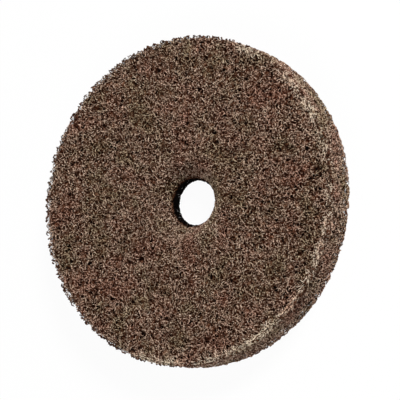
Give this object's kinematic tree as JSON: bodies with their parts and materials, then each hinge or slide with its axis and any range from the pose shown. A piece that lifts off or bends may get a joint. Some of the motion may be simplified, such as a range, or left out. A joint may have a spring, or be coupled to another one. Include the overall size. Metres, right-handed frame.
{
  "type": "unitized abrasive wheel",
  "caption": "Small flat round wheel of pressed and bonded open nylon web, with a plain round spindle hole through its middle.",
  "frame": {"origin": "middle of the back face, where the wheel's axis meets the surface that the wheel lies on", "axes": "+Z along the wheel's axis, out of the front face; X and Y are alike, because the wheel is round"},
  "size_m": [0.0508, 0.0508, 0.0063],
  "materials": {
    "bonded_web": "open fibrous nylon web, cured with resin and fine brown abrasive grain, matt and rough"
  },
  "bodies": {
    "root": {"abrasive_wheel": "bonded_web"}
  },
  "joints": []
}
